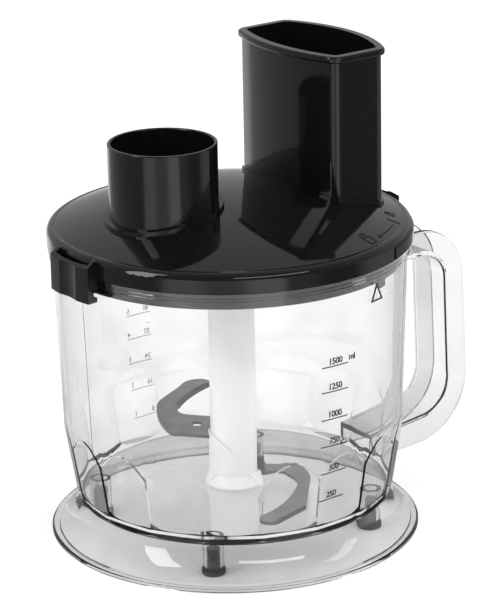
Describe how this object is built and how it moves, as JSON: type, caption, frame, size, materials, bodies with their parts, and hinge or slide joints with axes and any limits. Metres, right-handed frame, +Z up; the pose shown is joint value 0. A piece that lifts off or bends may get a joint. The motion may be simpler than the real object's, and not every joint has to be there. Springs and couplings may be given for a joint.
{
  "type": "food processor bowl with geared lid",
  "caption": "Clear handled bowl with a black geared lid, feed tube, off-centre motor collar and a removable sickle blade unit.",
  "frame": {"origin": "on the table, under the middle of the whole unit's bounding box", "axes": "+Z up along the bowl's axis, +X from the bowl towards its handle, +Y to the left when seen from the motor collar looking at the handle"},
  "size_m": [0.2305, 0.18, 0.2363],
  "materials": {
    "clear_plastic": "clear styrene acrylonitrile, polished",
    "gloss_black": "high gloss ABS",
    "satin_black": "satin ABS",
    "hub_white": "natural polypropylene, slightly translucent",
    "gear_white": "natural acetal",
    "blade_steel": "satin stainless steel",
    "pin_steel": "ground steel",
    "bush_brass": "sintered bronze",
    "foot_rubber": "matt rubber",
    "mark_grey": "raised frosted marks"
  },
  "bodies": {
    "bowl": {"bowl_shell": "clear_plastic", "base_skirt": "clear_plastic", "foot_posts": "clear_plastic", "rubber_feet": "foot_rubber", "bowl_handle": "clear_plastic", "bayonet_ramps": "clear_plastic", "lock_marker": "mark_grey", "spindle_boss": "clear_plastic", "spindle_pin": "pin_steel"},
    "lid": {"lid_cover": "gloss_black", "motor_collar": "gloss_black", "feed_tube": "gloss_black", "grip_lug_handle": "gloss_black", "grip_lug_front": "gloss_black", "lid_pegs": "gloss_black", "gear_housing": "satin_black", "gear_cover": "satin_black", "cover_screws": "pin_steel", "collar_bush": "bush_brass", "driver_bush": "bush_brass"},
    "pinion": {"pinion_gear": "gear_white", "pinion_shaft": "pin_steel", "drive_coupler": "satin_black"},
    "gear": {"driven_gear": "gear_white", "driver_shaft": "gear_white"},
    "blade_unit": {"blade_hub": "hub_white", "hub_bush": "bush_brass", "hub_sleeve": "hub_white", "lower_blade": "blade_steel", "upper_blade": "blade_steel"}
  },
  "joints": [
    {"name": "lid_turn", "type": "hinge", "parent": "bowl", "child": "lid", "pos_m": [-0.02235, 0, 0.15], "axis": [0, 0, 1], "range_deg": [-28, 0]},
    {"name": "pinion_spin", "type": "hinge", "parent": "lid", "child": "pinion", "pos_m": [-0.05985, 0, 0.156], "axis": [0, 0, 1], "continuous": true},
    {"name": "gear_spin", "type": "hinge", "parent": "lid", "child": "gear", "pos_m": [-0.02235, 0, 0.156], "axis": [0, 0, 1], "continuous": true},
    {"name": "blade_spin", "type": "hinge", "parent": "bowl", "child": "blade_unit", "pos_m": [-0.02235, 0, 0.06], "axis": [0, 0, 1], "continuous": true}
  ],
  "couplings": [
    {"joint": "gear_spin", "follows": "blade_spin", "ratio": 1},
    {"joint": "pinion_spin", "follows": "blade_spin", "ratio": -2.3333}
  ]
}
